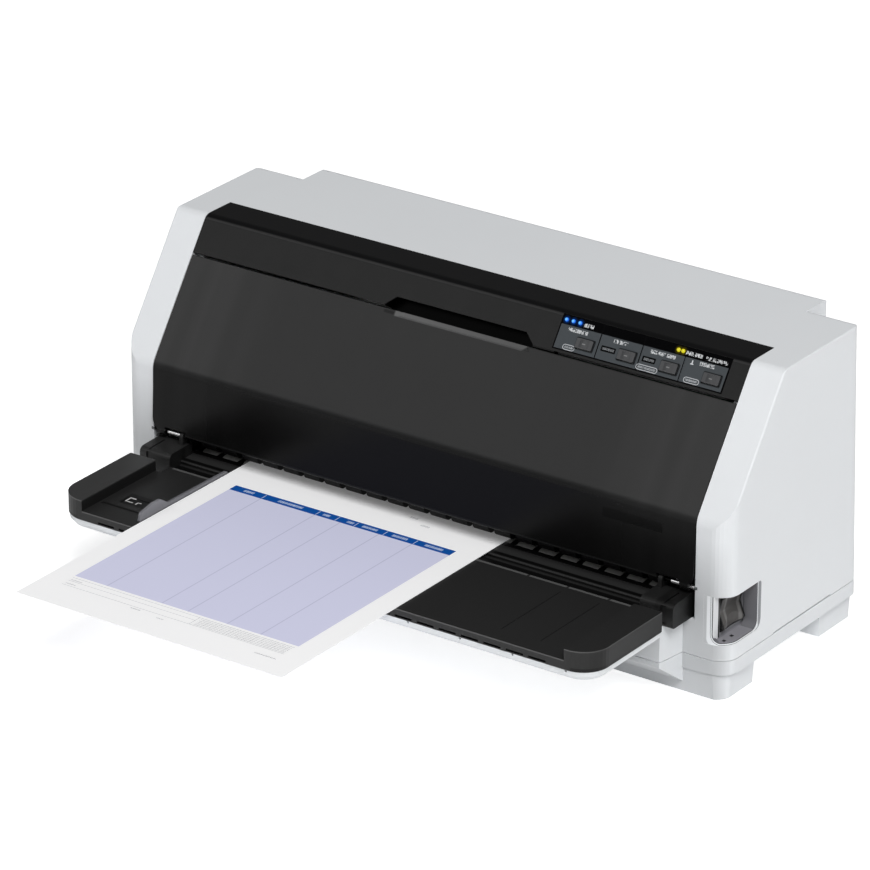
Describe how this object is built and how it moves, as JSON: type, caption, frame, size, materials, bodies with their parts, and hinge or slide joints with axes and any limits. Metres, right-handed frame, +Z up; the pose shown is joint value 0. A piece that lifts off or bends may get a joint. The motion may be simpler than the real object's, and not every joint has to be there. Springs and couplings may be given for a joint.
{
  "type": "dot matrix printer",
  "caption": "Wide flatbed dot matrix printer: white case, hinged smoked cover, black paper table with edge guide, key panel, rear push tractor.",
  "frame": {"origin": "on the floor under the middle of the object's box, which is the body's centre plane at its front face", "axes": "+X to the right seen from the front, +Y to the back, +Z up"},
  "size_m": [0.48, 0.462, 0.2103],
  "materials": {
    "case_white": "fine textured moulding",
    "bar_black": "satin black",
    "panel_grey": "printed overlay",
    "light_blue": "lit lens",
    "key_grey": "satin",
    "smoked_plastic": "smoked, nearly opaque",
    "bright_steel": "ground and polished",
    "black_plastic": "fine textured moulding",
    "guide_grey": "tinted",
    "paper": "uncoated, printed",
    "bezel_grey": "smooth",
    "rubber": "ground",
    "plated_steel": "zinc plated",
    "brass": "turned",
    "roller_grey": "ground",
    "gear_ivory": "moulded",
    "motor_black": "painted can",
    "carriage_black": "glass filled",
    "head_aluminium": "cast, dark",
    "cartridge_black": "moulded",
    "ribbon_fabric": "inked weave",
    "board_green": "solder resist",
    "tractor_black": "moulded",
    "tractor_grey": "moulded"
  },
  "bodies": {
    "root": {"lower_case": "case_white", "upper_case": "case_white", "front_bar": "bar_black", "control_panel": "panel_grey", "status_lights": "light_blue", "cover_pins": "bright_steel", "paper_entrance": "black_plastic", "paper_table": "black_plastic", "table_base": "case_white", "switch_bezel": "bezel_grey", "rubber_feet": "rubber", "case_screws": "bright_steel", "chassis_base": "plated_steel", "left_frame": "plated_steel", "right_frame": "plated_steel", "paper_bed": "black_plastic", "platen_bushes": "brass", "feed_motor": "motor_black", "carriage_shaft": "bright_steel", "rear_rail": "plated_steel", "carriage_motor": "motor_black", "carriage_belt": "rubber", "ribbon_cartridge": "cartridge_black", "ribbon_strand": "ribbon_fabric", "main_board": "board_green", "interface_ports": "plated_steel", "power_supply": "plated_steel", "power_inlet": "black_plastic", "tractor_frame": "black_plastic", "tractor_guide_shaft": "bright_steel"},
    "front_cover": {"front_cover": "smoked_plastic"},
    "button_1": {"panel_button_1": "key_grey"},
    "button_2": {"panel_button_2": "key_grey"},
    "button_3": {"panel_button_3": "key_grey"},
    "button_4": {"panel_button_4": "key_grey"},
    "power_rocker": {"power_rocker": "key_grey"},
    "edge_guide": {"edge_guide": "guide_grey"},
    "paper_sheet": {"paper_sheet": "paper"},
    "platen": {"platen_roller": "rubber"},
    "front_roller": {"front_roller": "roller_grey"},
    "front_pinch": {"front_pinch_rollers": "roller_grey"},
    "rear_roller": {"rear_roller": "roller_grey"},
    "rear_pinch": {"rear_pinch_rollers": "roller_grey"},
    "front_idler": {"front_idler_gear": "gear_ivory"},
    "rear_idler": {"rear_idler_gear": "gear_ivory"},
    "transfer": {"transfer_gear": "gear_ivory"},
    "pinion": {"motor_pinion": "brass"},
    "carriage": {"carriage": "carriage_black", "print_head": "head_aluminium"},
    "motor_pulley": {"motor_pulley": "gear_ivory"},
    "idler_pulley": {"idler_pulley": "gear_ivory"},
    "ribbon_knob": {"ribbon_knob": "guide_grey"},
    "tractor_drive": {"tractor_drive_shaft": "bright_steel", "tractor_gear": "gear_ivory"},
    "left_unit": {"left_tractor": "tractor_black"},
    "left_lid": {"left_tractor_lid": "tractor_grey"},
    "left_wheel": {"left_pin_wheel": "gear_ivory"},
    "right_unit": {"right_tractor": "tractor_black"},
    "right_lid": {"right_tractor_lid": "tractor_grey"},
    "right_wheel": {"right_pin_wheel": "gear_ivory"}
  },
  "joints": [
    {"name": "cover_hinge", "type": "hinge", "parent": "root", "child": "front_cover", "pos_m": [0, 0.0012, 0.076], "axis": [1, 0, 0], "range_deg": [0, 90]},
    {"name": "button_1_press", "type": "slide", "parent": "root", "child": "button_1", "axis": [0, 0.8181, -0.5751], "range_m": [0, 0.0008], "stiffness_N_per_m": 400},
    {"name": "button_2_press", "type": "slide", "parent": "root", "child": "button_2", "axis": [0, 0.8181, -0.5751], "range_m": [0, 0.0008], "stiffness_N_per_m": 400},
    {"name": "button_3_press", "type": "slide", "parent": "root", "child": "button_3", "axis": [0, 0.8181, -0.5751], "range_m": [0, 0.0008], "stiffness_N_per_m": 400},
    {"name": "button_4_press", "type": "slide", "parent": "root", "child": "button_4", "axis": [0, 0.8181, -0.5751], "range_m": [0, 0.0008], "stiffness_N_per_m": 400},
    {"name": "rocker_tilt", "type": "hinge", "parent": "root", "child": "power_rocker", "pos_m": [0.224, 0.0205, 0.0585], "axis": [0, 1, 0], "range_deg": [0, 8]},
    {"name": "guide_slide", "type": "slide", "parent": "root", "child": "edge_guide", "axis": [1, 0, 0], "range_m": [-0.026, 0]},
    {"name": "sheet_feed", "type": "slide", "parent": "root", "child": "paper_sheet", "axis": [0, -1, 0], "range_m": [0, 0.09]},
    {"name": "platen_spin", "type": "hinge", "parent": "root", "child": "platen", "pos_m": [0, 0.052, 0.04778], "axis": [1, 0, 0], "continuous": true},
    {"name": "front_roller_spin", "type": "hinge", "parent": "root", "child": "front_roller", "pos_m": [0, 0.017, 0.05471], "axis": [1, 0, 0], "continuous": true},
    {"name": "rear_roller_spin", "type": "hinge", "parent": "root", "child": "rear_roller", "pos_m": [0, 0.087, 0.05471], "axis": [1, 0, 0], "continuous": true},
    {"name": "front_pinch_spin", "type": "hinge", "parent": "root", "child": "front_pinch", "pos_m": [0, 0.017, 0.0687], "axis": [1, 0, 0], "continuous": true},
    {"name": "rear_pinch_spin", "type": "hinge", "parent": "root", "child": "rear_pinch", "pos_m": [0, 0.087, 0.0687], "axis": [1, 0, 0], "continuous": true},
    {"name": "front_idler_spin", "type": "hinge", "parent": "root", "child": "front_idler", "pos_m": [-0.206, 0.03293, 0.06065], "axis": [1, 0, 0], "continuous": true},
    {"name": "rear_idler_spin", "type": "hinge", "parent": "root", "child": "rear_idler", "pos_m": [-0.206, 0.07453, 0.04316], "axis": [1, 0, 0], "continuous": true},
    {"name": "transfer_spin", "type": "hinge", "parent": "root", "child": "transfer", "pos_m": [-0.206, 0.12289, 0.05189], "axis": [1, 0, 0], "continuous": true},
    {"name": "pinion_spin", "type": "hinge", "parent": "root", "child": "pinion", "pos_m": [-0.206, 0.09531, 0.03034], "axis": [1, 0, 0], "continuous": true},
    {"name": "tractor_spin", "type": "hinge", "parent": "root", "child": "tractor_drive", "pos_m": [0, 0.16237, 0.05067], "axis": [1, 0, 0], "continuous": true},
    {"name": "left_unit_slide", "type": "slide", "parent": "root", "child": "left_unit", "axis": [1, 0, 0], "range_m": [-0.024, 0.09]},
    {"name": "right_unit_slide", "type": "slide", "parent": "root", "child": "right_unit", "axis": [1, 0, 0], "range_m": [-0.09, 0.024]},
    {"name": "left_wheel_spin", "type": "hinge", "parent": "left_unit", "child": "left_wheel", "pos_m": [-0.126, 0.16237, 0.05067], "axis": [1, 0, 0], "continuous": true},
    {"name": "right_wheel_spin", "type": "hinge", "parent": "right_unit", "child": "right_wheel", "pos_m": [0.126, 0.16237, 0.05067], "axis": [1, 0, 0], "continuous": true},
    {"name": "left_lid_hinge", "type": "hinge", "parent": "left_unit", "child": "left_lid", "pos_m": [-0.14, 0.18, 0.0676], "axis": [0, -1, 0], "range_deg": [0, 100]},
    {"name": "right_lid_hinge", "type": "hinge", "parent": "right_unit", "child": "right_lid", "pos_m": [0.14, 0.18, 0.0676], "axis": [0, 1, 0], "range_deg": [0, 100]},
    {"name": "carriage_slide", "type": "slide", "parent": "root", "child": "carriage", "axis": [1, 0, 0], "range_m": [-0.148, 0.148]},
    {"name": "motor_pulley_spin", "type": "hinge", "parent": "root", "child": "motor_pulley", "pos_m": [0.175, 0.116, 0.104], "axis": [0, 0, 1], "continuous": true},
    {"name": "idler_pulley_spin", "type": "hinge", "parent": "root", "child": "idler_pulley", "pos_m": [-0.175, 0.116, 0.104], "axis": [0, 0, 1], "continuous": true},
    {"name": "ribbon_knob_spin", "type": "hinge", "parent": "root", "child": "ribbon_knob", "pos_m": [0.15, 0.0215, 0.1], "axis": [0, 0, 1], "continuous": true}
  ],
  "couplings": [
    {"joint": "front_idler_spin", "follows": "platen_spin", "ratio": -1.3},
    {"joint": "rear_idler_spin", "follows": "platen_spin", "ratio": -1.3},
    {"joint": "front_roller_spin", "follows": "platen_spin", "ratio": 1.8571},
    {"joint": "rear_roller_spin", "follows": "platen_spin", "ratio": 1.8571},
    {"joint": "front_pinch_spin", "follows": "platen_spin", "ratio": -3.003},
    {"joint": "rear_pinch_spin", "follows": "platen_spin", "ratio": -3.003},
    {"joint": "transfer_spin", "follows": "platen_spin", "ratio": -0.44828},
    {"joint": "pinion_spin", "follows": "platen_spin", "ratio": 2.1667},
    {"joint": "tractor_spin", "follows": "platen_spin", "ratio": 1.2381},
    {"joint": "left_wheel_spin", "follows": "platen_spin", "ratio": 1.2381},
    {"joint": "right_wheel_spin", "follows": "platen_spin", "ratio": 1.2381},
    {"joint": "motor_pulley_spin", "follows": "carriage_slide", "rad_per_m": 103.63},
    {"joint": "idler_pulley_spin", "follows": "carriage_slide", "rad_per_m": 103.63}
  ]
}
